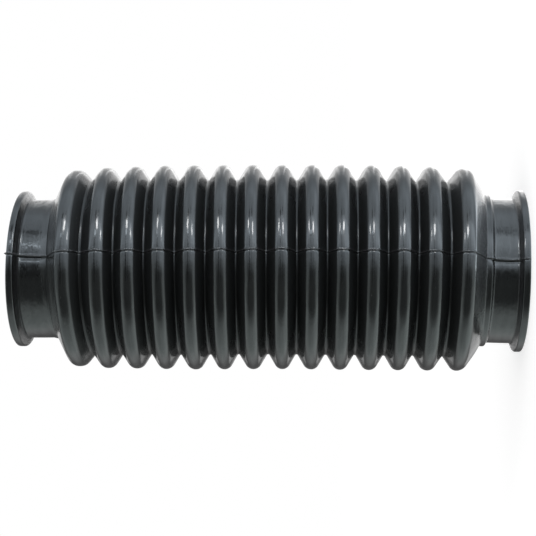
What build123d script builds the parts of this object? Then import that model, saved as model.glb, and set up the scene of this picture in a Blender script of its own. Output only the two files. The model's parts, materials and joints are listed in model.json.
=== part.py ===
"""Rubber bellows boot, moulded in one piece.

A black rubber dust boot: fourteen round folds between two clamp cuffs. Each cuff has a plain neck for a
clamp band, a flange lip at its mouth that keeps the band on, and a shoulder ring where the neck meets the
folds. The inside follows the folds at an even wall, and runs straight through each cuff as its bore.

The boot stands upright on the flange of its larger cuff. The axis is Z, and the origin is the centre of
that flange's face. All lengths are in millimetres.
"""

from build123d import *

import os
from dataclasses import dataclass
from math import hypot

# Folds: a land round each crest, a narrow land in each root and straight flanks between them
crest_count = 14
crest_pitch = 8.93
crest_diameter = 62.8
crest_land = 3.0
root_diameter = 53.4
root_land = 0.4
fold_wall = 2.0

# The outermost folds are spaced a little wider, and the crests get smaller towards the cuffs.
large_end_pitch = 9.7
small_end_pitch = 9.95
large_end_taper = 0.4
small_end_taper = 1.3
taper_ratio = 0.5

# Larger cuff, at the bottom
large_bore = 40.0
large_neck_wall = 2.1
large_neck_length = 7.5
large_lip_height = 2.6
large_rim_width = 2.1
large_rim_slope = 1.0
large_shoulder_height = 1.2
large_shoulder_width = 1.9
large_shoulder_slope = 0.5
large_end_flank = 4.25

# Smaller cuff, at the top
small_bore = 38.2
small_neck_wall = 2.1
small_neck_length = 6.6
small_lip_height = 2.7
small_rim_width = 2.0
small_rim_slope = 1.2
small_shoulder_height = 0.7
small_shoulder_width = 1.4
small_shoulder_slope = 0.4
small_end_flank = 3.75


@dataclass(frozen=True)
class Cuff:
    """One clamp cuff. Its heights are counted from its mouth towards the folds."""

    bore: float
    neck_wall: float
    neck_length: float
    lip_height: float
    rim_width: float
    rim_slope: float
    shoulder_height: float
    shoulder_width: float
    shoulder_slope: float
    end_flank: float

    def outside(self):
        """The outer profile, as (radius, height) from the mouth to the foot of the first flank."""
        neck_radius = self.bore / 2 + self.neck_wall
        rim_radius = neck_radius + self.lip_height
        shoulder_radius = neck_radius + self.shoulder_height
        neck_start = self.rim_width + self.rim_slope
        neck_end = neck_start + self.neck_length
        shoulder_start = neck_end + self.shoulder_slope
        shoulder_end = shoulder_start + self.shoulder_width
        return [
            (rim_radius, 0),
            (rim_radius, self.rim_width),
            (neck_radius, neck_start),
            (neck_radius, neck_end),
            (shoulder_radius, shoulder_start),
            (shoulder_radius, shoulder_end),
        ]

    def length(self):
        """The distance from the mouth to the near edge of the first crest's land."""
        return self.outside()[-1][1] + self.end_flank


@dataclass(frozen=True)
class Flank:
    """One side of a fold, a cone between two (radius, height) points, the lower one first."""

    lower: tuple
    upper: tuple

    @property
    def height_per_radius(self):
        """How far up the flank goes for each millimetre of radius; negative where it closes in."""
        return (self.upper[1] - self.lower[1]) / (self.upper[0] - self.lower[0])

    def inside_height(self, radius):
        """The height at which the flank's inner face, one wall into the rubber, has the given radius."""
        on_outside = self.lower[1] + (radius - self.lower[0]) * self.height_per_radius
        rise = self.upper[0] - self.lower[0]
        slant = hypot(rise, self.upper[1] - self.lower[1])
        return on_outside + fold_wall * slant / rise


def crest_heights():
    """The height of each crest's middle, from the larger cuff upwards."""
    heights = [large_cuff.length() + crest_land / 2]
    pitches = [large_end_pitch] + [crest_pitch] * (crest_count - 3) + [small_end_pitch]
    for pitch in pitches:
        heights.append(heights[-1] + pitch)
    return heights


def crest_radius(crest):
    """The radius of a crest's land. Each end's taper shrinks from one crest to the next."""
    above = crest_count - 1 - crest
    taper = large_end_taper * taper_ratio**crest + small_end_taper * taper_ratio**above
    return crest_diameter / 2 - taper


def crest_lands():
    """The outer profile of each crest: the two ends of its land."""
    half = crest_land / 2
    lands = []
    for crest, height in enumerate(crest_heights()):
        radius = crest_radius(crest)
        lands.append([(radius, height - half), (radius, height + half)])
    return lands


def root_lands():
    """The outer profile of each root, midway between two crests: the two ends of its land."""
    half = root_land / 2
    heights = crest_heights()
    middles = [(lower + upper) / 2 for lower, upper in zip(heights, heights[1:])]
    return [[(root_diameter / 2, middle - half), (root_diameter / 2, middle + half)] for middle in middles]


def inside_crest(radius, rising, falling):
    """The inner profile behind a crest: a land one wall in, or a point where the wall fills the crest."""
    inner_radius = radius - fold_wall
    start = rising.inside_height(inner_radius)
    end = falling.inside_height(inner_radius)
    if start < end:
        return [(inner_radius, start), (inner_radius, end)]
    closing = rising.height_per_radius - falling.height_per_radius
    inner_radius += (end - start) / closing
    return [(inner_radius, rising.inside_height(inner_radius))]


large_cuff = Cuff(
    bore=large_bore,
    neck_wall=large_neck_wall,
    neck_length=large_neck_length,
    lip_height=large_lip_height,
    rim_width=large_rim_width,
    rim_slope=large_rim_slope,
    shoulder_height=large_shoulder_height,
    shoulder_width=large_shoulder_width,
    shoulder_slope=large_shoulder_slope,
    end_flank=large_end_flank,
)
small_cuff = Cuff(
    bore=small_bore,
    neck_wall=small_neck_wall,
    neck_length=small_neck_length,
    lip_height=small_lip_height,
    rim_width=small_rim_width,
    rim_slope=small_rim_slope,
    shoulder_height=small_shoulder_height,
    shoulder_width=small_shoulder_width,
    shoulder_slope=small_shoulder_slope,
    end_flank=small_end_flank,
)
boot_length = crest_lands()[-1][-1][1] + small_cuff.length()
small_cuff_outside = [(radius, boot_length - height) for radius, height in reversed(small_cuff.outside())]

# Outer profile, upwards: cuff, crest, root, crest and so on, cuff
stretches = [large_cuff.outside()]
for crest_stretch, root_stretch in zip(crest_lands(), root_lands()):
    stretches += [crest_stretch, root_stretch]
stretches += [crest_lands()[-1], small_cuff_outside]
outer_points = [point for stretch in stretches for point in stretch]

# Inner profile, upwards: each flank's inner face, cut off by the bores, the crests' lands and the roots'
flanks = [Flank(below[-1], above[0]) for below, above in zip(stretches, stretches[1:])]
inner_points = [(large_bore / 2, 0), (large_bore / 2, flanks[0].inside_height(large_bore / 2))]
for crest in range(crest_count):
    rising, falling = flanks[2 * crest], flanks[2 * crest + 1]
    inner_points += inside_crest(crest_radius(crest), rising, falling)
    if crest < crest_count - 1:
        inner_root = root_diameter / 2 - fold_wall
        next_rising = flanks[2 * crest + 2]
        inner_points.append((inner_root, falling.inside_height(inner_root)))
        inner_points.append((inner_root, next_rising.inside_height(inner_root)))
inner_points += [(small_bore / 2, flanks[-1].inside_height(small_bore / 2)), (small_bore / 2, boot_length)]

with BuildPart() as bellows_boot:
    with BuildSketch(Plane.XZ):
        with BuildLine():
            Polyline(*outer_points, *reversed(inner_points), close=True)
        make_face()
    revolve(axis=Axis.Z)

bellows_boot.part.label = "bellows_boot"
os.makedirs("parts", exist_ok=True)
export_step(bellows_boot.part, "parts/bellows_boot.step")
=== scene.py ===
"""The finish of a black rubber bellows boot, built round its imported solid.

The boot is one moulding, so it is one piece here: a closed surface whose section is the solid's, with each
crest rounded into one arc and the roots, lips and shoulders softened. The moulding's own faults are on it as
well: it bows a little, its smaller cuff leans, the flanks beside the cuffs are drawn down, no fold is quite
true, and the flash of the two mould halves runs along both sides. The boot's classes hold millimetres and
degrees, and the meshes are written in metres.
"""

import json
import logging
from dataclasses import dataclass
from enum import Enum

import bpy
import numpy as np
from mathutils import Matrix, Vector


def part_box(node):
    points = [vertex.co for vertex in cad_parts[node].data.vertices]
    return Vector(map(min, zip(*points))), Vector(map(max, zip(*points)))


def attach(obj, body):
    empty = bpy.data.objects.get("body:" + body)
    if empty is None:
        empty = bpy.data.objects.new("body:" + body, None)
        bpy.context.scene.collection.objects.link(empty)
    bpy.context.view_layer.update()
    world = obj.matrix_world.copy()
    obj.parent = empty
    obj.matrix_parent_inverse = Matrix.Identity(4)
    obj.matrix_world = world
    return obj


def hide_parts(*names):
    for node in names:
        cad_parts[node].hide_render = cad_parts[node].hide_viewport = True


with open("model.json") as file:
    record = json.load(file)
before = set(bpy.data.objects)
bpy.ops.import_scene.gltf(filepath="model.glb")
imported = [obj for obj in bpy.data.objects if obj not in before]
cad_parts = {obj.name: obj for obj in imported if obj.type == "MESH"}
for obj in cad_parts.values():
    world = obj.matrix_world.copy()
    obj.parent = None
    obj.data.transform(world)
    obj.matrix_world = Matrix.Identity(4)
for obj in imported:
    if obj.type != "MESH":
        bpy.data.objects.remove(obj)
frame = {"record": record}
LOG = logging.getLogger("bellows_boot")
MM = 0.001
TURN = 2.0 * np.pi
WHITE = (1.0, 1.0, 1.0)
ARC_SHARE = 0.49  # the most that a rounded corner takes of a side
FACE_POWER = 4.0  # the watts that give a square metre of a lamp's face a radiance of 1
Pair = tuple[float, float]
Triple = tuple[float, float, float]
Span = tuple[float, float, float, float]
Socket = bpy.types.NodeSocket
Source = Socket | float | tuple[float, ...]


class Node(Enum):
    """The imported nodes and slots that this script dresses."""

    BOOT = "bellows_boot"
    RUBBER = "rubber"


class Mount(Enum):
    """The record's mounts that give the bores."""

    LARGE = "large_cuff_bore"
    SMALL = "small_cuff_bore"


class Skin(Enum):
    """The mesh's own attributes, each 1 where the skin is so and 0 where it isn't."""
    # matt skin is also painted darker: painted shade in the folds and inside the boot

    MATT_AND_FOLD_SHADE = "matt"
    # grainy skin; on the parting line's fin its paler grains paint a highlight
    GRAINY_AND_FIN_HIGHLIGHT = "scuff"
    RUBBED = "rubbed"


def bore_radius(mount: Mount) -> float:
    """The radius of a cuff's bore, in millimetres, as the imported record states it."""
    found = next(row for row in frame["record"]["mounts"] if row["name"] == mount.value)
    return found["dims"]["r_mm"]


def placed(name: str, data: bpy.types.ID) -> bpy.types.Object:
    """Makes an object and puts it in the scene.

    Args:
        name: its name.
        data: its mesh, lamp or camera.

    Returns:
        The object, at the origin.
    """
    made = bpy.data.objects.new(name, data)
    bpy.context.scene.collection.objects.link(made)
    return made


def bell(offset: np.ndarray, width: float) -> np.ndarray:
    """A smooth bump of height 1 at offset 0: e to the power of minus (offset / width) squared."""
    return np.exp(-((offset / width) ** 2))


def smooth_step(value: np.ndarray, start: float, end: float) -> np.ndarray:
    """0 before start, 1 after end, and 3 t squared minus 2 t cubed between them."""
    t = np.clip((value - start) / (end - start), 0.0, 1.0)
    return t * t * (3.0 - 2.0 * t)


def plateau(value: np.ndarray, start: float, full: float, full_end: float, end: float) -> np.ndarray:
    """A smooth step up from start to full, times one down from full_end to end."""
    return smooth_step(value, start, full) * (1.0 - smooth_step(value, full_end, end))


def waves(height: np.ndarray, parts: tuple[Triple, ...]) -> np.ndarray:
    """The sum of size * sin(rate * height + phase) over the parts, each as (size, rate, phase)."""
    return sum(size * np.sin(rate * height + phase) for size, rate, phase in parts)


@dataclass(frozen=True)
class Cuff:
    """One clamp cuff. Its heights are counted from its mouth towards the folds.

    Attributes:
        bore: the bore's radius.
        neck_wall, neck_length: the wall and the length of the neck, which is the clamp's seat.
        lip_height: how far the lip stands over the neck. rim_width is its rim, rim_slope the slope behind.
        shoulder_height: how far the ring beside the folds stands over the neck, with its width and slope.
        end_flank: how far the last flank reaches along the axis.
        mouth_round, lip_round, fillet, shoulder_round: the radii of the rounded corners.
        neck_fade: how far over the lip and over the shoulder the neck's wear and flash fade out.
        lip_fade: how far before the lip's foot its wear is full, and how far behind the foot that ends.
    """

    bore: float
    neck_wall: float
    neck_length: float
    lip_height: float
    rim_width: float
    rim_slope: float
    shoulder_height: float
    shoulder_width: float
    shoulder_slope: float
    end_flank: float
    mouth_round: float = 0.5
    lip_round: float = 0.75
    fillet: float = 0.7
    shoulder_round: float = 0.45
    neck_fade: Pair = (1.0, 2.5)
    lip_fade: Pair = (0.6, 0.5)

    def neck_span(self) -> Pair:
        """Where the clamp seat starts and ends, from the mouth."""
        start = self.rim_width + self.rim_slope
        return start, start + self.neck_length

    def corners(self) -> np.ndarray:
        """The outer corners from the mouth inwards.

        Returns:
            Rows of (radius, height from the mouth, rounding).
        """
        neck = self.bore + self.neck_wall
        rim = neck + self.lip_height
        shoulder = neck + self.shoulder_height
        start, end = self.neck_span()
        rise = end + self.shoulder_slope
        return np.array(
            [
                (rim, 0.0, self.mouth_round),
                (rim, self.rim_width, self.lip_round),
                (neck, start, self.fillet),
                (neck, end, self.fillet),
                (shoulder, rise, self.shoulder_round),
                (shoulder, rise + self.shoulder_width, self.shoulder_round),
            ]
        )

    def foot(self) -> float:
        """The height at which the shoulder ends and the last flank starts."""
        return float(self.corners()[-1, 1])

    def on_neck(self, along: np.ndarray) -> np.ndarray:
        """1 on the clamp seat, fading out over the lip and the shoulder."""
        start, end = self.neck_span()
        return plateau(along, start - self.neck_fade[0], start, end, end + self.neck_fade[1])

    def on_lip(self, along: np.ndarray) -> np.ndarray:
        """1 on the slope behind the lip's rim."""
        foot, _ = self.neck_span()
        return plateau(along, self.rim_width, foot - self.lip_fade[0], foot, foot + self.lip_fade[1])


@dataclass(frozen=True)
class Folds:
    """The row of folds between the cuffs.

    Attributes:
        pitch: from a crest to the next. large_end_pitch and small_end_pitch are the last ones at each end.
        crest, root: the radii of the crests and the roots. land and root_land are their flat widths.
        wall: the thickness of the rubber, square to a flank.
        large_end_taper, small_end_taper: how much smaller each end's last crest is in radius.
        taper_ratio: the share of a crest's taper that the next one still has.
        crest_round, root_round, inner_round: the radii of the rounded corners.
        root_rise: how far over the root its rounded corners are moved up the flanks.
    """

    count: int = 14
    pitch: float = 8.93
    crest: float = 31.4
    land: float = 3.0
    root: float = 26.7
    root_land: float = 0.4
    wall: float = 2.0
    large_end_pitch: float = 9.7
    small_end_pitch: float = 9.95
    large_end_taper: float = 0.4
    small_end_taper: float = 1.3
    taper_ratio: float = 0.5
    crest_round: float = 2.65
    root_round: float = 0.5
    root_rise: float = 0.14
    inner_round: float = 0.6

    def heights(self, first: float) -> np.ndarray:
        """The crests' middle heights: the first one's, then the sum of the pitches below each.

        Args:
            first: the lowest crest's height.

        Returns:
            A height for each crest.
        """
        pitches = np.full(self.count, self.pitch)
        pitches[:2] = first, self.large_end_pitch
        pitches[-1] = self.small_end_pitch
        return np.cumsum(pitches)

    def radii(self) -> np.ndarray:
        """The crests' radii: each end's taper shrinks by one ratio from a crest to the next.

        Returns:
            A radius for each crest.
        """
        crest = np.arange(self.count)
        large = self.large_end_taper * self.taper_ratio**crest
        small = self.small_end_taper * self.taper_ratio ** (self.count - 1 - crest)
        return self.crest - large - small


@dataclass(frozen=True)
class Section:
    """Half of the boot's section as a closed line: up the outside and down the inside.

    Attributes:
        radius: distance of each row from the axis.
        height: height of each row.
        normal: unit normal of each row, as (radial, axial), pointing out of the rubber.
        outside: 1 on the outer face, 0 on the inner one and a blend at the mouths.
    """

    radius: np.ndarray
    height: np.ndarray
    normal: np.ndarray
    outside: np.ndarray


def rounded(corners: np.ndarray, steps: int) -> np.ndarray:
    """Rounds the corners of a closed line.

    Each corner becomes an arc that touches both of its sides: it starts rounding * tan(half the turn) before
    the corner and turns about a centre one rounding away from both sides. A rounding that doesn't fit is
    cut to what the shorter side leaves.

    Args:
        corners: rows of (radius, height, rounding).
        steps: points on each arc.

    Returns:
        The line's points, as rows of (radius, height).
    """
    points = corners[:, :2]
    incoming = points - np.roll(points, 1, axis=0)
    reach = np.linalg.norm(incoming, axis=1)
    incoming = incoming / reach[:, None]
    outgoing = np.roll(incoming, -1, axis=0)
    room = ARC_SHARE * np.minimum(reach, np.roll(reach, -1))
    cross = incoming[:, 0] * outgoing[:, 1] - incoming[:, 1] * outgoing[:, 0]
    turn = np.arctan2(cross, np.sum(incoming * outgoing, axis=1))
    tangent = np.minimum(corners[:, 2] * np.tan(np.abs(turn) / 2), room)
    arc_radius = tangent / np.tan(np.abs(turn) / 2)
    side = np.sign(turn)
    centre_way = np.stack([-incoming[:, 1], incoming[:, 0]], axis=1) * side[:, None]
    start = points - incoming * tangent[:, None]
    centre = start + centre_way * arc_radius[:, None]
    angle = turn[:, None] * np.linspace(0.0, 1.0, steps)[None, :]
    spoke = start - centre
    cos, sin = np.cos(angle), np.sin(angle)
    arc_r = centre[:, :1] + spoke[:, :1] * cos - spoke[:, 1:] * sin
    arc_h = centre[:, 1:] + spoke[:, :1] * sin + spoke[:, 1:] * cos
    return np.stack([arc_r.ravel(), arc_h.ravel()], axis=1)


def evened(
    line: np.ndarray, weight: np.ndarray, rows: int, longest: float, turn: float
) -> tuple[np.ndarray, np.ndarray, np.ndarray]:
    """Spreads rows along a closed line by how long and how bent it is.

    A stretch earns its length / longest plus its turning / turn, times its weight, and every row gets the
    same share.

    Args:
        line: the line's points, as rows of (radius, height).
        weight: how much each point's stretch counts.
        rows: how many rows to return.
        longest: the length that weighs as much as one turn.
        turn: the turning in radians that weighs as much as one longest.

    Returns:
        The rows' points, their unit normals to the right of the line's direction, and their weights.
    """
    closed = np.vstack([line, line[:1]])
    step = np.diff(closed, axis=0)
    length = np.linalg.norm(step, axis=1)
    heading = np.unwrap(np.arctan2(step[:, 1], step[:, 0]))
    bend = np.abs(np.diff(heading, prepend=heading[:1]))
    share = np.concatenate([[0.0], np.cumsum((length / longest + bend / turn) * weight)])
    along = np.concatenate([[0.0], np.cumsum(length)])
    at = np.interp(np.linspace(0.0, share[-1], rows, endpoint=False), share, along)
    points = np.stack([np.interp(at, along, closed[:, k]) for k in range(2)], axis=1)
    ahead = np.roll(points, -1, axis=0) - points
    behind = points - np.roll(points, 1, axis=0)
    ahead /= np.linalg.norm(ahead, axis=1, keepdims=True)
    behind /= np.linalg.norm(behind, axis=1, keepdims=True)
    tangent = ahead + behind
    tangent /= np.linalg.norm(tangent, axis=1, keepdims=True)
    kept = np.interp(at, along, np.append(weight, weight[:1]))
    return points, np.stack([tangent[:, 1], -tangent[:, 0]], axis=1), kept


@dataclass(frozen=True)
class MouldedFaults:
    """How the moulding departs from a true body of revolution.

    Attributes:
        oval, sway: how far the first wave round a ring moves it outwards and upwards.
        ring_waves: the first number of waves round a ring, and the one to stop before.
        wave_share: the least and the most of its size that a wave is drawn with.
        ripple: how far each of the ripples waves of the skin moves it.
        ripple_turns, ripple_rates: the range of their waves round the boot and their radians per millimetre.
        seed: what the random draws start from.
        bow, lean: rows of (height, degrees) by which the axis leans towards +X and towards +Y.
        bend_steps: how finely the leaning axis is summed up.
        pulls: the flanks that are drawn down on both sides, each as (height, width, size).
    """

    oval: float = 0.08
    sway: float = 0.10
    ring_waves: tuple[int, int] = (2, 6)
    wave_share: Pair = (0.4, 1.0)
    ripple: float = 0.008
    ripples: int = 14
    ripple_turns: tuple[int, int] = (6, 26)
    ripple_rates: Pair = (0.2, 1.3)
    seed: int = 7
    bow: tuple[Pair, ...] = (
        (3, 0), (10, 0.8), (18, 1.3), (24, 0.4), (28, 0.1), (37, 0), (46, -0.1), (60, -0.5),
        (75, -1), (90, -1.3), (110, -1.35), (126, -1.5), (136, -1.9), (145, -2.3), (150, -0.3), (153, 0.3),
    )
    lean: tuple[Pair, ...] = ((110, 0), (117, 0.5), (126, 0.75), (136, 1.6), (150, 3))
    bend_steps: int = 512
    pulls: tuple[Triple, ...] = ((135.0, 6.5, 1.05), (14.0, 2.6, 0.65))

    def ring_swell(self, ring: np.ndarray, angle: np.ndarray, rings: int, size: float) -> np.ndarray:
        """A slow wave round each ring: the sum of share * size / (k - 1) * cos(k * angle + phase).

        Each ring draws its own share and phase for each number k of waves.

        Args:
            ring: each row's place among the rings; waves blend between two rings.
            angle: each point's angle, in radians.
            rings: how many rings there are.
            size: the first wave's height, whose thousandths make the draws its own.

        Returns:
            The wave at each point of the grid.
        """
        draw = np.random.default_rng(self.seed + int(1000 * size) + rings)
        around = np.arange(*self.ring_waves)
        phase = draw.uniform(0.0, TURN, (rings + 1, len(around)))
        weight = draw.uniform(*self.wave_share, (rings + 1, len(around))) * size / (around - 1)
        low = np.clip(np.floor(ring).astype(int), 0, rings - 1)
        blend = np.clip(ring - low, 0.0, 1.0)[:, None]

        def wave(index: np.ndarray) -> np.ndarray:
            """The rings' own waves at the grid's angles."""
            turns = around * angle[..., None] + phase[index][:, None, :]
            return np.sum(weight[index][:, None, :] * np.cos(turns), axis=-1)

        return wave(low) * (1 - blend) + wave(low + 1) * blend

    def skin_ripple(self, angle: np.ndarray, height: np.ndarray) -> np.ndarray:
        """Small hollows and swellings of the skin: the sum of waves round the boot times waves along it.

        Args:
            angle: each point's angle, in radians.
            height: each point's height.

        Returns:
            The displacement along the skin's normal.
        """
        draw = np.random.default_rng(self.seed)
        total = np.zeros_like(angle)
        for _ in range(self.ripples):
            around = draw.integers(*self.ripple_turns)
            along = draw.uniform(*self.ripple_rates)
            phases = draw.uniform(0.0, TURN, 2)
            total += np.cos(around * angle + phases[0]) * np.cos(along * height + phases[1])
        return self.ripple * total

    def pulled(self, angle: np.ndarray, height: np.ndarray) -> np.ndarray:
        """How far a point is drawn down: sin(angle) squared times the sum of each pull's bell of heights."""
        drawn = [size * bell(height - middle, width) for middle, width, size in self.pulls]
        return np.sin(angle) ** 2 * sum(drawn)

    def bent(self, points: np.ndarray, length: float) -> np.ndarray:
        """Bends the boot: the axis follows its slopes towards +X and +Y, and each ring turns with it.

        A point goes to (x + X, y + Y, z - x * X' - y * Y'), where X' and Y' are the axis' slopes at its
        height and X and Y are their sums from the larger cuff's mouth up.

        Args:
            points: the grid's points.
            length: the boot's length.

        Returns:
            The moved points.
        """
        fine = np.linspace(0.0, length, self.bend_steps)
        height = points[..., 2]
        moved = points.copy()
        for axis, plan in enumerate((self.bow, self.lean)):
            heights, degrees = zip(*plan)
            slope = np.radians(np.interp(fine, heights, degrees))
            shift = np.concatenate([[0.0], np.cumsum((slope[1:] + slope[:-1]) / 2 * np.diff(fine))])
            moved[..., axis] += np.interp(height, fine, shift)
            moved[..., 2] -= points[..., axis] * np.interp(height, fine, slope)
        return moved


@dataclass(frozen=True)
class PartingFlash:
    """The flash where the two halves of the mould met, along both sides of the boot.

    Attributes:
        angle: where one half of the line runs, from -Y towards +X. The other half is opposite.
        height, width: the thin fin's on the folds. neck_height and neck_width are the thick one's.
        torn, torn_rates, torn_phase: the level, swing and waves of the thin fin's height along the boot.
        ragged, ragged_waves: the level and the waves of the thick one's.
        groove, groove_width: the groove beside the fin. neck_groove is its depth on the necks.
        groove_gap: how far beside the fin the groove lies, in its own widths.
        wider: the share by which it is wider under the height wider_below, so on the larger cuff.
        wander, wander_waves: how far the line strays.
        large_drift, small_drift: how far it lies aside on each cuff.
        large_drift_to: the heights where the first is full no more and where it ends.
        small_drift_to: how far from the smaller cuff's mouth the second starts and is full.
        nib, nib_width: the nib of flash at that mouth. nib_from says how far from it the nib starts and is
            full.
        reach: how far from the line the mesh's columns stray with it.
        shine: the share of the flanks' mattness that the fin lacks, over shine_width.
        wear: how grainy the fin's skin is. The grains are paler, which also paints a highlight along the fin.
        columns: how far from the line the crowded columns lie.
    """

    angle: float = 9.7
    height: float = 0.16
    width: float = 0.12
    torn: Pair = (0.55, 0.45)
    torn_rates: Pair = (2.3, 1.1)
    torn_phase: float = 1.0
    groove: float = 0.26
    groove_width: float = 0.18
    groove_gap: float = 0.7
    neck_height: float = 0.38
    neck_width: float = 0.34
    neck_groove: float = 0.48
    ragged: float = 0.6
    ragged_waves: tuple[Triple, ...] = ((0.25, 3.1, 0.0), (0.25, 5.3, 0.7))
    wider: float = 0.45
    wider_below: float = 50.0
    wander: float = 0.07
    wander_waves: tuple[Triple, ...] = ((1.0, 0.71, 0.4), (0.7, 0.33, 2.0), (0.5, 1.9, 0.0))
    large_drift: float = 0.65
    large_drift_to: Pair = (9.0, 17.0)
    small_drift: float = 0.6
    small_drift_to: Pair = (13.0, 3.0)
    nib: float = 0.55
    nib_width: float = 0.25
    nib_from: Pair = (1.2, 0.3)
    reach: float = 2.4
    shine: float = 0.9
    shine_width: float = 0.3
    wear: float = 1.0
    columns: tuple[float, ...] = (0.08, 0.16, 0.25, 0.36, 0.5, 0.7, 1.0, 1.5)

    def line(self, height: np.ndarray, length: float) -> np.ndarray:
        """How far the flash strays from its straight line: its waves, less or plus each cuff's drift.

        Args:
            height: each row's height.
            length: the boot's length.

        Returns:
            The distance round the boot, in millimetres.
        """
        on_large = 1.0 - smooth_step(height, *self.large_drift_to)
        start, end = self.small_drift_to
        on_small = smooth_step(height, length - start, length - end)
        strayed = self.wander * waves(height, self.wander_waves)
        return strayed - self.large_drift * on_large + self.small_drift * on_small

    def profile(self, offset: np.ndarray, height: np.ndarray, on_neck: np.ndarray) -> np.ndarray:
        """The flash's height above the skin: a bell-shaped fin less a bell-shaped groove beside it.

        Args:
            offset: how far each point is from the flash's line, in millimetres round the boot.
            height: each point's height.
            on_neck: 1 where the flash is the necks' thick one, 0 where it is the folds' thin one.

        Returns:
            The displacement along the skin's normal.
        """

        def either(fold: np.ndarray | float, neck: np.ndarray | float) -> np.ndarray:
            """The folds' value or the necks', or a blend where on_neck is between 0 and 1."""
            return fold * (1 - on_neck) + neck * on_neck

        level, swing = self.torn
        fast, slow = self.torn_rates
        torn = level + swing * np.sin(fast * height + self.torn_phase) * np.sin(slow * height)
        ragged = self.ragged + waves(height, self.ragged_waves)
        tall = either(self.height * torn, self.neck_height * ragged)
        wide = either(self.width, self.neck_width)
        deep = either(self.groove, self.neck_groove)
        ditch = either(self.groove_width, self.neck_width)
        ditch = ditch * (1 + self.wider * on_neck * (height < self.wider_below))
        return tall * bell(offset, wide) - deep * bell(offset + wide + self.groove_gap * ditch, ditch)

    def nib_height(self, offset: np.ndarray, height: np.ndarray, length: float) -> np.ndarray:
        """The nib's height above the skin: a bell across the line that rises towards the mouth."""
        start, full = self.nib_from
        return self.nib * smooth_step(height, length - start, length - full) * bell(offset, self.nib_width)


class Wiring:
    """Makes the nodes of one shader tree and links them."""

    def __init__(self, tree: bpy.types.NodeTree) -> None:
        """Takes the tree to work in."""
        self.nodes, self.links = tree.nodes, tree.links

    def feed(self, socket: Socket, value: Source) -> None:
        """Links a socket to another node's, or sets it to a plain value.

        Args:
            socket: the input.
            value: a node's output, or a number, vector or colour.
        """
        if isinstance(value, Socket):
            self.links.new(value, socket)
        else:
            socket.default_value = value

    def made(self, kind: str, inputs: dict[str | int, Source], **settings: str) -> bpy.types.Node:
        """Makes a node.

        Args:
            kind: its type.
            inputs: what is fed to its inputs, by their names or numbers.
            settings: its own settings.

        Returns:
            The node.
        """
        node = self.nodes.new(kind)
        for name, setting in settings.items():
            setattr(node, name, setting)
        for key, value in inputs.items():
            self.feed(node.inputs[key], value)
        return node

    def math(self, operation: str, *values: Source) -> Socket:
        """A Math node's result."""
        return self.made("ShaderNodeMath", dict(enumerate(values)), operation=operation).outputs[0]

    def step(self, value: Source, start: float, end: float, low: float = 0.0, high: float = 1.0) -> Socket:
        """Low before start, high after end and a smooth step between them."""
        given = {"Value": value, "From Min": start, "From Max": end, "To Min": low, "To Max": high}
        return self.made("ShaderNodeMapRange", given, interpolation_type="SMOOTHSTEP").outputs["Result"]

    def plateau(self, value: Source, start: float, full: float, full_end: float, end: float) -> Socket:
        """A smooth step up from start to full, times one down from full_end to end."""
        return self.math("MULTIPLY", self.step(value, start, full), self.step(value, full_end, end, 1.0, 0.0))

    def mix(self, share: Source, first: Source, second: Source) -> Socket:
        """A blend of two colours, inputs 6 and 7: the first where share is 0, the second where it is 1."""
        first, second = ((*end, 1.0) if isinstance(end, tuple) else end for end in (first, second))
        return self.made("ShaderNodeMix", {0: share, 6: first, 7: second}, data_type="RGBA").outputs[2]

    def attribute(self, skin: Skin) -> Socket:
        """One of the mesh's own attributes."""
        return self.made("ShaderNodeAttribute", {}, attribute_name=skin.value).outputs["Fac"]

    def scaled(self, scale: Triple) -> Socket:
        """The object's own coordinates, scaled."""
        place = self.made("ShaderNodeTexCoord", {}).outputs["Object"]
        return self.made("ShaderNodeMapping", {"Vector": place, "Scale": scale}).outputs["Vector"]


@dataclass(frozen=True)
class Noise:
    """A noise on the object's own coordinates.

    Attributes:
        waves: how many waves a metre holds, along each axis.
        detail: how many finer octaves are laid over them.
    """

    waves: Triple
    detail: float

    def value(self, wiring: Wiring) -> Socket:
        """The noise itself."""
        given = {"Vector": wiring.scaled(self.waves), "Scale": 1.0, "Detail": self.detail}
        return wiring.made("ShaderNodeTexNoise", given).outputs["Fac"]


@dataclass(frozen=True)
class Pattern(Noise):
    """A noise made into patches by a smooth step between the two values of its cut."""

    cut: Pair

    def patches(self, wiring: Wiring, low: float = 0.0, high: float = 1.0) -> Socket:
        """The patches: low where the noise is under its cut and high where it is over it."""
        return wiring.step(self.value(wiring), *self.cut, low, high)


@dataclass(frozen=True)
class Relief(Noise):
    """A layer of small relief on the skin.

    Attributes:
        depth: how deep it is, in millimetres.
        strength: how strongly it turns the light.
        place: the attribute that says where it lies, or None where it lies all over.
    """

    depth: float
    strength: float
    place: Skin | None = None

    def laid(self, wiring: Wiring, below: Socket | None) -> Socket:
        """Lays the relief over another one.

        Args:
            wiring: the material's nodes.
            below: the normal of the layer below, or None under the first one.

        Returns:
            The new normal.
        """
        given = {"Height": self.value(wiring), "Distance": self.depth * MM, "Strength": self.strength}
        if self.place is not None:
            given["Strength"] = wiring.math("MULTIPLY", wiring.attribute(self.place), self.strength)
        if below is not None:
            given["Normal"] = below
        return wiring.made("ShaderNodeBump", given).outputs["Normal"]


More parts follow.
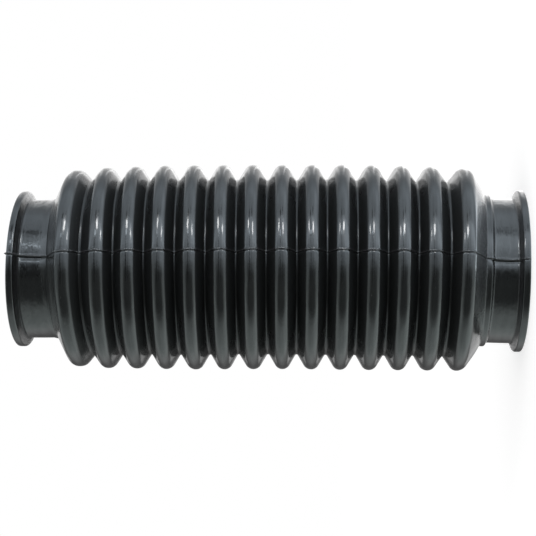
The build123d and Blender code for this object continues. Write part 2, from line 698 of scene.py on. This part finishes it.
@dataclass(frozen=True)
class BlackRubber:
    """Black moulded rubber: glossy where it was wiped, matt in the folds and painted darker there as shade,
    with turning marks and some dust.

    Attributes:
        deep, worn: the darkest and lightest colours of the wiped skin, which the cloud blends.
        painted_fold_shade: the colour of matt skin, darker than the wiped skin: painted shade in the flanks,
            the roots and inside the boot.
        scuffed_and_fin_highlight: the colour of the grains on grainy skin; along the parting line's fin these
            paler grains are a painted highlight.
        dust: the colour of the specks. speck is their radius and speck_core the share of it that is solid.
        dust_cell: how far apart the specks can lie, in millimetres.
        roughness: the wiped skin's, at the two ends of the smear. Grains add grain_roughness to it.
        matt_roughness: the least that matt skin has.
        coat: how much gloss coat the streaks leave.
        sheer: how edge on matt skin is seen when its coat starts to show and when it shows fully.
        reliefs: its uneven skin, turning marks, pores, clamp marks and grains.
    """

    name: str = "black_moulded_rubber"
    painted_fold_shade: Triple = (0.0078, 0.0082, 0.0082)
    deep: Triple = (0.0078, 0.0084, 0.0088)
    worn: Triple = (0.0140, 0.0148, 0.0150)
    scuffed_and_fin_highlight: Triple = (0.040, 0.038, 0.042)
    dust: Triple = (0.11, 0.11, 0.11)
    speck: float = 0.15
    speck_core: float = 0.4
    dust_cell: float = 2.8
    roughness: Pair = (0.20, 0.30)
    grain_roughness: float = 0.3
    matt_roughness: float = 0.55
    ior: float = 1.5
    specular: float = 0.25
    coat_ior: float = 1.7
    coat_roughness: float = 0.13
    coat: Pair = (0.84, 1.0)
    sheer: Pair = (0.58, 0.66)
    cloud: Pattern = Pattern((90, 90, 90), 4.0, (0.35, 0.72))
    grain: Pattern = Pattern((2100, 2100, 2100), 2.0, (0.42, 0.66))
    smear: Pattern = Pattern((60, 60, 240), 5.0, (0.3, 0.7))
    streaks: Pattern = Pattern((100, 100, 700), 3.0, (0.35, 0.65))
    reliefs: tuple[Relief, ...] = (
        Relief((260, 260, 420), 2.0, 0.16, 0.42),
        Relief((80, 80, 1100), 2.0, 0.05, 0.6),
        Relief((800, 800, 800), 3.0, 0.05, 0.35),
        Relief((500, 500, 1000), 2.0, 0.12, 0.8, Skin.RUBBED),
        Relief((2100, 2100, 2100), 2.0, 0.25, 0.9, Skin.GRAINY_AND_FIN_HIGHLIGHT),
    )

    def material(self) -> bpy.types.Material:
        """Builds the node material.

        Returns:
            The material, on Object coordinates and the piece's own attributes.
        """
        made = bpy.data.materials.new(self.name)
        made.use_nodes = True
        wiring = Wiring(made.node_tree)
        normal = None
        for relief in self.reliefs:
            normal = relief.laid(wiring, normal)
        given = {
            "Base Color": self.colour(wiring),
            "Roughness": self.dullness(wiring),
            "IOR": self.ior,
            "Specular IOR Level": self.specular,
            "Coat Weight": self.gloss(wiring),
            "Coat IOR": self.coat_ior,
            "Coat Roughness": self.coat_roughness,
            "Normal": normal,
            "Coat Normal": normal,
        }
        shader = wiring.nodes["Principled BSDF"]
        for name, value in given.items():
            wiring.feed(shader.inputs[name], value)
        return made

    def colour(self, wiring: Wiring) -> Socket:
        """The colour: cloudy where the skin was wiped, then darker where matt, which paints shade into the
        folds and the inside, then grains, which on the fin also paint a highlight, and dust on top.

        Args:
            wiring: the material's nodes.

        Returns:
            The colour.
        """
        wiped = wiring.mix(self.cloud.patches(wiring), self.deep, self.worn)
        # matt skin gets the darker colour: painted shade in the flanks, the roots and inside
        plain = wiring.mix(wiring.attribute(Skin.MATT_AND_FOLD_SHADE), wiped, self.painted_fold_shade)
        grains = wiring.mix(self.grain.patches(wiring), self.worn, self.scuffed_and_fin_highlight)
        skin = wiring.mix(wiring.attribute(Skin.GRAINY_AND_FIN_HIGHLIGHT), plain, grains)
        return wiring.mix(self.specks(wiring), skin, self.dust)

    def specks(self, wiring: Wiring) -> Socket:
        """The sparse specks of dust, where the skin passes near the middle of a cell of a Voronoi pattern.

        Args:
            wiring: the material's nodes.

        Returns:
            1 on the specks and 0 between them.
        """
        each = 1.0 / (self.dust_cell * MM)
        given = {"Vector": wiring.scaled((each, each, each)), "Scale": 1.0}
        near = wiring.made("ShaderNodeTexVoronoi", given).outputs["Distance"]
        reach = self.speck / self.dust_cell
        return wiring.step(near, self.speck_core * reach, reach, 1.0, 0.0)

    def dullness(self, wiring: Wiring) -> Socket:
        """The roughness: the smear's plus what grains add, or the matt skin's where that is more.

        Args:
            wiring: the material's nodes.

        Returns:
            The roughness.
        """
        smear = self.smear.patches(wiring, *self.roughness)
        grained = wiring.math("MULTIPLY_ADD", wiring.attribute(Skin.GRAINY_AND_FIN_HIGHLIGHT), self.grain_roughness, smear)
        matt = wiring.math("MULTIPLY", wiring.attribute(Skin.MATT_AND_FOLD_SHADE), self.matt_roughness)
        return wiring.math("MAXIMUM", grained, matt)

    def gloss(self, wiring: Wiring) -> Socket:
        """The coat: 1 less the matt skin's share where it is seen from the front, times the streaks.

        Args:
            wiring: the material's nodes.

        Returns:
            The coat's weight.
        """
        facing = wiring.made("ShaderNodeLayerWeight", {}).outputs["Facing"]
        in_front = wiring.step(facing, *self.sheer, 1.0, 0.0)
        missing = wiring.math("MULTIPLY", wiring.attribute(Skin.MATT_AND_FOLD_SHADE), in_front)
        streaks = self.streaks.patches(wiring, *self.coat)
        return wiring.math("MULTIPLY", wiring.math("SUBTRACT", 1.0, missing), streaks)


@dataclass(frozen=True)
class WearAndFoldShade:
    """Where the skin is matt and painted darker as shade, and where it is grainy.

    Attributes:
        wiped_to: how far a flank's skin tilts when it starts to be matt and when it is fully so.
        foot_to: the same on the flank beside the smaller cuff.
        root: how matt the roots are, up to root_reach over them.
        lip: how grainy the slopes behind the lips are.
        patch_heights, patch_angles: where the grainy patch starts, is full, is full no more and ends,
            counted up from the larger cuff's shoulder, and in degrees round the boot.
        tail, tail_angles: how grainy the patch's tail is, and where it starts, is full and ends.
    """

    wiped_to: Pair = (37.0, 46.0)
    foot_to: Pair = (14.0, 30.0)
    root: float = 0.6
    root_reach: float = 1.0
    lip: float = 0.7
    patch_heights: Span = (-0.6, 0.0, 3.0, 4.0)
    patch_angles: Span = (7.0, 12.0, 42.0, 62.0)
    tail: float = 0.8
    tail_angles: Triple = (-32.0, -20.0, 20.0)

    def patch(self, above: np.ndarray, angle: np.ndarray) -> np.ndarray:
        """The grainy patch: a plateau along the boot times the larger of one round it and the tail.

        Args:
            above: each point's height over the larger cuff's shoulder.
            angle: each point's angle, in degrees.

        Returns:
            How grainy each point is.
        """
        start, full, end = self.tail_angles
        tail = self.tail * smooth_step(angle, start, full) * (angle < end)
        return plateau(above, *self.patch_heights) * np.maximum(plateau(angle, *self.patch_angles), tail)


@dataclass(frozen=True)
class BellowsBoot:
    """The boot: its section carried round the axis, with the moulding's faults.

    Attributes:
        length: its height.
        rows, columns: the mesh's rows along the section, and its even columns round the axis.
        arc_steps: the points of a rounded corner.
        row_length, row_turn: the length of skin, and the degrees of turning, that get the same rows.
        inner_share: how many rows the inside gets for each one outside.
        seam_gap: how far the even columns keep from the crowded ones, in radians.
        fault_fade: how far from the mouths the moulding starts to be untrue, and is fully so.
        off_floor: how high the flash starts to stand out, and does so fully, so that the foot is flat.
    """

    large: Cuff
    small: Cuff
    folds: Folds
    faults: MouldedFaults
    flash: PartingFlash
    wear: WearAndFoldShade
    rubber: BlackRubber
    length: float
    rows: int = 700
    columns: int = 104
    arc_steps: int = 24
    row_length: float = 1.6
    row_turn: float = 10.0
    inner_share: float = 0.4
    seam_gap: float = 0.02
    fault_fade: Pair = (2.0, 18.0)
    off_floor: Pair = (0.2, 0.8)

    def crests(self) -> tuple[np.ndarray, np.ndarray]:
        """The crests' heights and radii."""
        first = self.large.foot() + self.large.end_flank + self.folds.land / 2
        return self.folds.heights(first), self.folds.radii()

    def flanks(self) -> tuple[np.ndarray, np.ndarray]:
        """The straight flanks, as the solid has them.

        Returns:
            The flank below each crest and the one above it, each as (lower end, upper end) by (radius,
            height).
        """
        heights, radii = self.crests()
        folds = self.folds
        middle = (heights[1:] + heights[:-1]) / 2
        root = np.full_like(middle, folds.root)
        root_start = np.stack([root, middle - folds.root_land / 2], axis=1)
        root_end = np.stack([root, middle + folds.root_land / 2], axis=1)
        crest_start = np.stack([radii, heights - folds.land / 2], axis=1)
        crest_end = np.stack([radii, heights + folds.land / 2], axis=1)
        large_foot = self.large.corners()[-1:, :2]
        small_foot = self.small.corners()[-1:, :2] * (1.0, -1.0) + (0.0, self.length)
        rising = np.stack([np.vstack([large_foot, root_end]), crest_start], axis=1)
        falling = np.stack([crest_end, np.vstack([root_start, small_foot])], axis=1)
        return rising, falling

    def outer_corners(self) -> np.ndarray:
        """The outer corners, upwards: cuff, crest, root, crest and so on, cuff.

        A crest's two corners are rounded until its land is one arc. A root's corners are moved up its flanks
        by root_rise, which leaves room for its own arc.

        Returns:
            Rows of (radius, height, rounding).
        """
        folds = self.folds
        rising, falling = self.flanks()
        start, end = rising[1:, 0], falling[:-1, 1]
        start = start + (rising[1:, 1] - start) * (folds.root_rise / (rising[1:, 1, :1] - folds.root))
        end = end + (falling[:-1, 0] - end) * (folds.root_rise / (falling[:-1, 0, :1] - folds.root))
        fold = np.stack([rising[:-1, 1], falling[:-1, 0], end, start], axis=1).reshape(-1, 2)
        crest_bend, root_bend = [folds.crest_round] * 2, [folds.root_round] * 2
        bend = np.tile(crest_bend + root_bend, folds.count - 1)
        last = np.column_stack([[rising[-1, 1], falling[-1, 0]], crest_bend])
        top = self.small.corners()[::-1] * (1.0, -1.0, 1.0) + (0.0, self.length, 0.0)
        return np.vstack([self.large.corners(), np.column_stack([fold, bend]), last, top])

    def inner_corners(self) -> np.ndarray:
        """The inner corners, upwards: bore, then behind each crest and each root, bore.

        Each flank's inner face lies one wall inside its outer one. It is cut off one wall under the crest,
        one wall under the root, and at the bores.

        Returns:
            Rows of (radius, height, rounding).
        """
        folds = self.folds
        rising, falling = self.flanks()

        def inside(flank: np.ndarray, radius: np.ndarray | float) -> np.ndarray:
            """The inner face's height at a radius: the outer line plus wall * slant / rise."""
            rise, run = (flank[:, 1] - flank[:, 0]).T
            on_line = flank[:, 0, 1] + (radius - flank[:, 0, 0]) * run / rise
            return on_line + folds.wall * np.hypot(rise, run) / rise

        crest = rising[:, 1, 0] - folds.wall
        root = np.full(folds.count - 1, folds.root - folds.wall)
        crest_start = np.stack([crest, inside(rising, crest)], axis=1)
        crest_end = np.stack([crest, inside(falling, crest)], axis=1)
        root_start = np.stack([root, inside(falling[:-1], root)], axis=1)
        root_end = np.stack([root, inside(rising[1:], root)], axis=1)
        fold = np.stack([crest_start[:-1], crest_end[:-1], root_start, root_end], axis=1).reshape(-1, 2)
        fold = np.vstack([fold, crest_start[-1:], crest_end[-1:]])
        fold = np.column_stack([fold, np.full(len(fold), folds.inner_round)])
        large_end = inside(rising[:1], self.large.bore)[0]
        small_end = inside(falling[-1:], self.small.bore)[0]
        bend, mouth = folds.inner_round, self.large.mouth_round
        bottom = np.array([(self.large.bore, 0.0, mouth), (self.large.bore, large_end, bend)])
        top = np.array([(self.small.bore, small_end, bend), (self.small.bore, self.length, mouth)])
        return np.vstack([bottom, fold, top])

    def section(self) -> Section:
        """The rounded section as rows, closer together outside than inside.

        Returns:
            The section.
        """
        outer, inner = self.outer_corners(), self.inner_corners()
        line = rounded(np.vstack([outer, inner[::-1]]), self.arc_steps)
        weight = np.full(len(line), self.inner_share)
        weight[: len(outer) * self.arc_steps] = 1.0
        points, normal, kept = evened(line, weight, self.rows, self.row_length, np.radians(self.row_turn))
        outside = (kept - self.inner_share) / (1.0 - self.inner_share)
        return Section(points[:, 0], points[:, 1], normal, outside)

    def angles(self) -> np.ndarray:
        """The columns' angles: even, and crowded at the two halves of the parting line.

        Returns:
            The angles from -Y towards +X, in radians.
        """
        even = np.linspace(0.0, TURN, self.columns, endpoint=False)
        offsets = np.array(self.flash.columns) / self.folds.crest
        crowd = np.concatenate([-offsets[::-1], [0.0], offsets])
        seams = np.radians(self.flash.angle) + np.array([0.0, np.pi])
        gap = np.abs((even[:, None] - seams[None, :] + np.pi) % TURN - np.pi).min(axis=1)
        kept = even[gap > offsets[-1] + self.seam_gap]
        return np.sort(np.concatenate([kept, (seams[:, None] + crowd[None, :]).ravel()]) % TURN)

    def from_seams(self) -> np.ndarray:
        """Each column's angle from the nearer half of the parting line, in radians."""
        seam = np.radians(self.flash.angle)
        return (self.angles() - seam + np.pi / 2) % np.pi - np.pi / 2

    def surface(self) -> np.ndarray:
        """The boot's points.

        A point is its row's place plus its displacement along the row's normal, turned to its column's
        angle, and then bent with the axis.

        Returns:
            An array of rows by columns by (x, y, z), in millimetres.
        """
        section = self.section()
        heights, _ = self.crests()
        angle = np.broadcast_to(self.angles(), (self.rows, len(self.angles()))).copy()
        height = np.broadcast_to(section.height[:, None], angle.shape)
        outside = section.outside[:, None]
        ring = np.interp(section.height, heights, np.arange(len(heights)) + 0.5)
        swell = self.faults.ring_swell(ring, angle, len(heights), self.faults.oval)
        sway = self.faults.ring_swell(ring, angle, len(heights), self.faults.sway)
        from_mouths = np.minimum(section.height, self.length - section.height)
        fade = smooth_step(from_mouths, *self.fault_fade)[:, None]

        from_seam = self.from_seams()
        near = bell(from_seam * self.folds.crest, self.flash.reach)
        stray = self.flash.line(section.height, self.length)[:, None] / self.folds.crest
        angle += near * stray * outside
        offset = from_seam * section.radius[:, None]
        fin = self.flash.profile(offset, height, self.on_necks(section.height)[:, None])
        fin += self.flash.nib_height(offset, height, self.length)
        off_floor = smooth_step(section.height, *self.off_floor)[:, None]

        lift = outside * (fin * off_floor + self.faults.skin_ripple(angle, height) * fade)
        radius = section.radius[:, None] + section.normal[:, :1] * lift + swell * fade
        level = section.height[:, None] + section.normal[:, 1:] * lift * off_floor + sway * fade
        level -= self.faults.pulled(angle, height)
        points = np.stack([radius * np.sin(angle), -radius * np.cos(angle), level], axis=-1)
        return self.faults.bent(points, self.length)

    def on_necks(self, height: np.ndarray) -> np.ndarray:
        """1 at the heights of the two clamp seats, fading out over their lips and shoulders."""
        return self.large.on_neck(height) + self.small.on_neck(self.length - height)

    def rubbing(self) -> np.ndarray:
        """How much each point was rubbed by a clamp: 1 on the outside of the necks.

        Returns:
            An array of rows by columns.
        """
        section = self.section()
        rubbed = self.on_necks(section.height) * section.outside
        return np.broadcast_to(rubbed[:, None], (self.rows, len(self.angles())))

    def matt_and_fold_shade(self) -> np.ndarray:
        """How matt the skin is at each point: 1 on the flanks of the folds, and inside the boot. Matt skin is
        also painted darker, so this paints shade into the flanks, the roots and the inside.

        The flank beside the larger cuff isn't matt, the roots are partly so, and the parting line's fin is
        glossy.

        Returns:
            An array of rows by columns.
        """
        section = self.section()
        heights, _ = self.crests()
        tilt = np.degrees(np.arcsin(np.clip(np.abs(section.normal[:, 1]), 0.0, 1.0)))
        seat, _ = self.small.neck_span()
        inner = (section.height > heights[0]) & (section.height < self.length - seat)
        foot = section.height > heights[-1] + self.folds.land
        wear = self.wear
        flank = np.where(foot, smooth_step(tilt, *wear.foot_to), smooth_step(tilt, *wear.wiped_to)) * inner
        root = self.folds.root + self.folds.root_rise
        low = wear.root * (1 - smooth_step(section.radius, root, root + wear.root_reach)) * inner
        # flanks, roots and inside are matt and painted darker as shade; the fin keeps the wiped colour
        matt = np.maximum(np.maximum(flank, low * (~foot)), 1.0 - section.outside)
        fin = bell(self.from_seams() * self.folds.root, self.flash.shine_width)
        return matt[:, None] * (1.0 - self.flash.shine * fin)

    def scuffing_and_fin_highlight(self) -> np.ndarray:
        """How grainy the skin is at each point: the patch beside the larger cuff, the lips and the fin. The
        fin's paler grains are partly worn skin and partly a painted highlight.

        Returns:
            An array of rows by columns.
        """
        section = self.section()
        angle = (np.degrees(self.angles())[None, :] + 180.0) % 360.0 - 180.0
        patch = self.wear.patch(section.height[:, None] - self.large.foot(), angle)
        lips = self.large.on_lip(section.height) + self.small.on_lip(self.length - section.height)
        from_fin = self.from_seams() * self.folds.root - self.flash.width
        # on the fin the paler grains paint a highlight along the flash
        fin = self.flash.wear * bell(from_fin, self.flash.shine_width)
        return np.minimum(patch + self.wear.lip * lips[:, None] + fin, 1.0) * section.outside[:, None]

    def build(self) -> bpy.types.Object:
        """Makes the mesh, closed both ways round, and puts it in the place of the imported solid.

        Returns:
            The finished piece.
        """
        grid = self.surface()
        rows, columns = grid.shape[:2]
        row, column = np.meshgrid(np.arange(rows), np.arange(columns), indexing="ij")
        next_row, next_column = (row + 1) % rows, (column + 1) % columns
        corners = [(row, column), (row, next_column), (next_row, next_column), (next_row, column)]
        faces = np.stack([r * columns + c for r, c in corners], axis=-1).reshape(-1, 4)
        mesh = bpy.data.meshes.new(Node.BOOT.value)
        mesh.from_pydata((grid * MM).reshape(-1, 3), [], faces)
        mesh.polygons.foreach_set("use_smooth", np.ones(len(faces), dtype=bool))
        skins = {Skin.MATT_AND_FOLD_SHADE: self.matt_and_fold_shade(), Skin.GRAINY_AND_FIN_HIGHLIGHT: self.scuffing_and_fin_highlight(), Skin.RUBBED: self.rubbing()}
        for skin, values in skins.items():
            layer = mesh.attributes.new(skin.value, "FLOAT", "POINT")
            layer.data.foreach_set("value", values.ravel().astype(np.float32))
        mesh.update()
        mesh.validate()
        return placed("moulded_boot", mesh)

    def dress(self, piece: bpy.types.Object) -> None:
        """Gives the boot its rubber, hides the imported solid and hangs the boot under the root body's empty.

        Args:
            piece: the finished piece.
        """
        piece.data.materials.append(self.rubber.material())
        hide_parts(Node.BOOT.value)
        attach(piece, "root")


@dataclass(frozen=True)
class SoftLight:
    """One upright rectangular lamp that faces the boot's axis. Its lengths are in metres.

    Attributes:
        around: its direction from -Y towards +X, in degrees.
        up: its height above the floor.
        distance: how far it is from the axis.
        width, height: its size round the boot and along it.
        radiance: how bright its face is, where 1 is white.
    """

    name: str
    around: float
    up: float
    distance: float = 0.12
    width: float = 0.019
    height: float = 0.024
    radiance: float = 8.0

    def build(self) -> bpy.types.Object:
        """Makes the lamp, whose face looks along its own -Z.

        Returns:
            The lamp's object.
        """
        lamp = bpy.data.lights.new(self.name, "AREA")
        lamp.shape = "RECTANGLE"
        lamp.size, lamp.size_y = self.width, self.height
        lamp.energy = FACE_POWER * self.radiance * self.width * self.height
        made = placed(self.name, lamp)
        around = np.radians(self.around)
        back = Vector((np.sin(around), -np.cos(around), 0.0))
        upwards = Vector((0.0, 0.0, 1.0))
        turned = Matrix((upwards.cross(back), upwards, back)).transposed().to_4x4()
        made.matrix_world = Matrix.Translation(back * self.distance + upwards * self.up) @ turned
        made.visible_camera = False
        return made


@dataclass(frozen=True)
class Panel:
    """An upright soft-edged light panel of the surround, as reflections see it.

    Attributes:
        angles: where it starts, is full, is full no more and ends, in degrees from -Y towards +X and on.
        level: how bright it is straight across from the boot, where 1 is white.
    """

    name: str
    angles: Span
    level: float

    def weight(self, wiring: Wiring, around: Socket, z: Socket) -> Socket:
        """How much of the panel is seen in a direction, at its angle round the boot.

        Args:
            wiring: the surround's nodes.
            around: the direction's angle round the boot, in degrees.
            z: how far the direction leans along the boot; not used here.

        Returns:
            1 where the panel is full, 0 where there is none of it.
        """
        seen = wiring.plateau(around, *self.angles)
        seen.node.label = self.name
        return seen


@dataclass(frozen=True)
class Glow(Panel):
    """A panel along the whole boot. Its ends say how bright it is towards the boot's ends."""

    ends: float


@dataclass(frozen=True)
class Patch(Panel):
    """A small part of a panel that is brighter or dimmer than the rest.

    Attributes:
        leans: where it starts, is full, is full no more and ends along the boot, as the direction's z.
    """

    leans: Span

    def weight(self, wiring: Wiring, around: Socket, z: Socket) -> Socket:
        """How much of the patch is seen in a direction: the panel's weight times one along the boot."""
        return wiring.math("MULTIPLY", super().weight(wiring, around, z), wiring.plateau(z, *self.leans))


@dataclass(frozen=True)
class Studio:
    """A white floor, a surround of soft light panels that is dim behind the camera, lamps and the camera.

    Attributes:
        floor_size: the floor's side, in metres. floor_colour is its paint and floor_white its own glow.
        surround: the grey that lights the boot where it doesn't mirror.
        camera_side: the angle at which the surround's angles start, behind the camera.
        dim: the surround's level behind the camera, across from the boot and towards its ends.
        near_level: how far along the boot a reflection leans before it sees the surround's ends.
        slants: steps by which the surround dims towards +Z, each as (start, end, level before, level after).
        lower_tint, upper_tint: the surround's tints towards -X and +X. tint_sides says how far each goes,
            and tint_back where the surround behind the boot starts to be white and is fully so.
        focal_pixels: the lens, in pixels of a picture that is picture_pixels wide. sensor is in millimetres.
        camera_distance: how far the camera is from the axis, in metres. clip is in metres too.
        camera_yaw, camera_roll: how far it is turned and tilted.
        camera_drop, camera_aim: how far under the axis and how high up the boot it looks, in millimetres.
    """

    floor_size: float = 4.0
    floor_colour: Triple = (0.8, 0.8, 0.8)
    floor_white: float = 0.64
    surround: float = 0.5
    camera_side: float = -45.0
    dim: Pair = (0.125, 0.60)
    near_level: Pair = (0.52, 0.88)
    slants: tuple[Span, ...] = ((-0.5, -0.2, 1.25, 1.0), (0.0, 0.2, 1.0, 0.86))
    upper_tint: Triple = (0.87, 1.0, 1.11)
    lower_tint: Triple = (0.88, 1.0, 0.99)
    tint_sides: Pair = (-0.3, 0.3)
    tint_back: Pair = (0.2, 0.95)
    focal_pixels: float = 1721.5
    picture_pixels: float = 536.0
    sensor: float = 36.0
    clip: Pair = (0.01, 20.0)
    camera_distance: float = 0.529
    camera_yaw: float = 1.145
    camera_roll: float = 1.0
    camera_drop: float = 0.34
    camera_aim: float = 77.55

    def glows(self) -> list[Glow]:
        """The surround's light panels."""
        return [
            Glow("window", (-8.0, 16.0, 57.0, 59.5), 0.72, 0.25),
            Glow("shade", (26.0, 44.0, 64.0, 84.0), 0.0, 0.85),
            Glow("ceiling", (4.0, 50.0, 92.0, 125.0), 0.96, 0.1),
            Glow("backdrop", (98.0, 134.0, 176.0, 194.0), 0.56, 0.5),
            Glow("backdrop_ends", (118.0, 150.0, 176.0, 194.0), 0.0, 1.9),
            Glow("backdrop_middle", (150.0, 172.0, 178.0, 192.0), 0.6, 0.3),
            Glow("table", (206.0, 246.0, 280.0, 314.0), 0.62, 0.3),
        ]

    def patches(self) -> list[Patch]:
        """The parts of the panels that only the two cuffs, and the flanks beside them, reflect.

        Returns:
            The patches.
        """
        small, large = (0.16, 0.195, 0.285, 0.32), (-0.17, -0.15, -0.09, -0.07)
        front, top = (-20.0, 0.0, 57.0, 59.5), (122.0, 142.0, 170.0, 180.0)
        below = (178.0, 188.0, 200.0, 212.0)
        return [
            Patch("small_cuff_bar", (56.5, 60.0, 66.0, 70.0), -1.0, small),
            Patch("large_cuff_bar", (60.0, 63.0, 69.0, 72.5), -1.0, large),
            Patch("small_cuff_shade", front, -0.75, small),
            Patch("large_cuff_shade", front, -0.28, large),
            Patch("small_cuff_top", top, 0.45, small),
            Patch("large_cuff_top", top, 0.8, large),
            Patch("small_cuff_glint", (37.0, 38.5, 41.0, 42.5), 6.0, small),
            Patch("small_cuff_foot", below, 0.6, (0.24, 0.36, 0.55, 0.7)),
            Patch("large_cuff_foot", below, 0.6, (-0.7, -0.55, -0.36, -0.24)),
        ]

    def lamps(self) -> list[SoftLight]:
        """The studio's lamps: two small ones beside the boot."""
        return [SoftLight("upper_lamp", 44.0, 0.132), SoftLight("lower_lamp", 39.5, 0.044)]

    def floor(self) -> bpy.types.Object:
        """Makes the floor that the boot stands on.

        Its material is pale and diffuse. The camera sees it white, with the boot's shadow on it, and the
        boot's reflections see the surround through it.

        Returns:
            The floor's object.
        """
        half = self.floor_size / 2
        corners = [(-half, -half, 0), (half, -half, 0), (half, half, 0), (-half, half, 0)]
        mesh = bpy.data.meshes.new("floor")
        mesh.from_pydata(corners, [], [(0, 1, 2, 3)])
        piece = placed("floor", mesh)
        made = bpy.data.materials.new("white_floor")
        made.use_nodes = True
        wiring = Wiring(made.node_tree)
        wiring.nodes.clear()
        path = wiring.made("ShaderNodeLightPath", {}).outputs
        seen = wiring.math("MAXIMUM", path["Is Camera Ray"], path["Is Transmission Ray"])
        strength = wiring.math("MULTIPLY", seen, self.floor_white)
        glow = wiring.made("ShaderNodeEmission", {"Strength": strength})
        paint = wiring.made("ShaderNodeBsdfDiffuse", {"Color": (*self.floor_colour, 1.0)})
        both = wiring.made("ShaderNodeAddShader", {0: paint.outputs[0], 1: glow.outputs[0]})
        clear = wiring.made("ShaderNodeBsdfTransparent", {})
        choices = {0: path["Is Glossy Ray"], 1: both.outputs[0], 2: clear.outputs[0]}
        surface = wiring.made("ShaderNodeMixShader", choices).outputs[0]
        wiring.made("ShaderNodeOutputMaterial", {"Surface": surface})
        piece.data.materials.append(made)
        return piece

    def panel_light(self, wiring: Wiring, around: Socket, z: Socket) -> Socket:
        """How bright the surround is in a direction, as reflections see it.

        It is dim plus each glow's weight times its level, or its ends' level where the direction leans
        along Z, times the slants, plus each patch's weight times its level.

        Args:
            wiring: the surround's nodes.
            around: the direction's angle round the boot, in degrees.
            z: how far the direction leans along the boot.

        Returns:
            The level, where 1 is white.
        """
        across, ends = self.dim
        for glow in self.glows():
            weight = glow.weight(wiring, around, z)
            across = wiring.math("MULTIPLY_ADD", weight, glow.level, across)
            ends = wiring.math("MULTIPLY_ADD", weight, glow.ends, ends)
        leaning = wiring.step(wiring.math("ABSOLUTE", z), *self.near_level)
        level = wiring.math("MULTIPLY_ADD", leaning, wiring.math("SUBTRACT", ends, across), across)
        for slant in self.slants:
            level = wiring.math("MULTIPLY", level, wiring.step(z, *slant))
        for patch in self.patches():
            level = wiring.math("MULTIPLY_ADD", patch.weight(wiring, around, z), patch.level, level)
        return level

    def world(self) -> None:
        """Makes the surround.

        The camera sees white, reflections see the light panels, and the boot's diffuse light comes from a
        plain grey. A direction's angle round the boot is the arctan2 of x and -y.
        """
        made = bpy.data.worlds.new("studio_surround")
        bpy.context.scene.world = made
        made.use_nodes = True
        wiring = Wiring(made.node_tree)
        wiring.nodes.clear()
        place = wiring.made("ShaderNodeTexCoord", {}).outputs["Generated"]
        x, y, z = wiring.made("ShaderNodeSeparateXYZ", {0: place}).outputs
        turn = wiring.math("ARCTAN2", x, wiring.math("MULTIPLY", y, -1.0))
        degrees = wiring.math("DEGREES", turn)
        around = wiring.math("WRAP", degrees, self.camera_side + 360.0, self.camera_side)
        path = wiring.made("ShaderNodeLightPath", {}).outputs
        mirrored = wiring.math("MAXIMUM", path["Is Glossy Ray"], path["Is Transmission Ray"])
        panels = wiring.math("MULTIPLY", mirrored, self.panel_light(wiring, around, z))
        plain = wiring.math("MULTIPLY", wiring.math("SUBTRACT", 1.0, mirrored), self.surround)
        strength = wiring.math("MAXIMUM", wiring.math("ADD", panels, plain), path["Is Camera Ray"])
        tint = wiring.mix(wiring.step(x, *self.tint_sides), self.lower_tint, self.upper_tint)
        tint = wiring.mix(wiring.step(y, *self.tint_back), tint, WHITE)
        light = {"Color": wiring.mix(mirrored, WHITE, tint), "Strength": strength}
        background = wiring.made("ShaderNodeBackground", light).outputs[0]
        wiring.made("ShaderNodeOutputWorld", {"Surface": background})

    def camera(self) -> bpy.types.Object:
        """Makes the camera, level with the boot's middle and turned on its side, so +X is up in the picture.

        Returns:
            The camera's object.
        """
        data = bpy.data.cameras.new("camera")
        data.sensor_width = self.sensor
        data.lens = data.sensor_width * self.focal_pixels / self.picture_pixels
        data.clip_start, data.clip_end = self.clip
        piece = placed("camera", data)
        yaw, roll = np.radians(self.camera_yaw), np.radians(self.camera_roll)
        forward = Vector((0.0, np.cos(yaw), np.sin(yaw)))
        up = Vector((1.0, 0.0, 0.0))
        right = forward.cross(up)
        aim = Vector((-self.camera_drop * MM, 0.0, self.camera_aim * MM))
        turned = Matrix((right, up, -forward)).transposed().to_4x4()
        rolled = turned @ Matrix.Rotation(roll, 4, "Z")
        piece.matrix_world = Matrix.Translation(aim - forward * self.camera_distance) @ rolled
        bpy.context.scene.camera = piece
        return piece

    def build(self) -> None:
        """Makes the whole studio."""
        self.camera()
        self.floor()
        self.world()
        for lamp in self.lamps():
            lamp.build()
        bpy.context.scene.view_settings.view_transform = "Standard"


def boot_from_frame() -> BellowsBoot:
    """The boot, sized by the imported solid's box and the record's bores.

    Returns:
        The boot.
    """
    low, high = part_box(Node.BOOT.value)
    large = Cuff(
        bore=bore_radius(Mount.LARGE),
        neck_wall=2.1,
        neck_length=7.5,
        lip_height=2.6,
        rim_width=2.1,
        rim_slope=1.0,
        shoulder_height=1.2,
        shoulder_width=1.9,
        shoulder_slope=0.5,
        end_flank=4.25,
        fillet=0.9,
        shoulder_round=0.7,
    )
    small = Cuff(
        bore=bore_radius(Mount.SMALL),
        neck_wall=2.1,
        neck_length=6.6,
        lip_height=2.7,
        rim_width=2.0,
        rim_slope=1.2,
        shoulder_height=0.35,
        shoulder_width=0.6,
        shoulder_slope=1.2,
        end_flank=3.75,
        fillet=1.2,
        shoulder_round=2.2,
    )
    return BellowsBoot(
        large=large,
        small=small,
        folds=Folds(),
        faults=MouldedFaults(),
        flash=PartingFlash(),
        wear=WearAndFoldShade(),
        rubber=BlackRubber(),
        length=float(high.z - low.z) / MM,
    )


def main() -> None:
    logging.basicConfig(level=logging.INFO, format="%(name)s: %(message)s")
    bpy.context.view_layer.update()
    boot = boot_from_frame()
    piece = boot.build()
    boot.dress(piece)
    LOG.info("%s has %d faces", piece.name, len(piece.data.polygons))
    Studio().build()


if __name__ == "__main__":
    main()
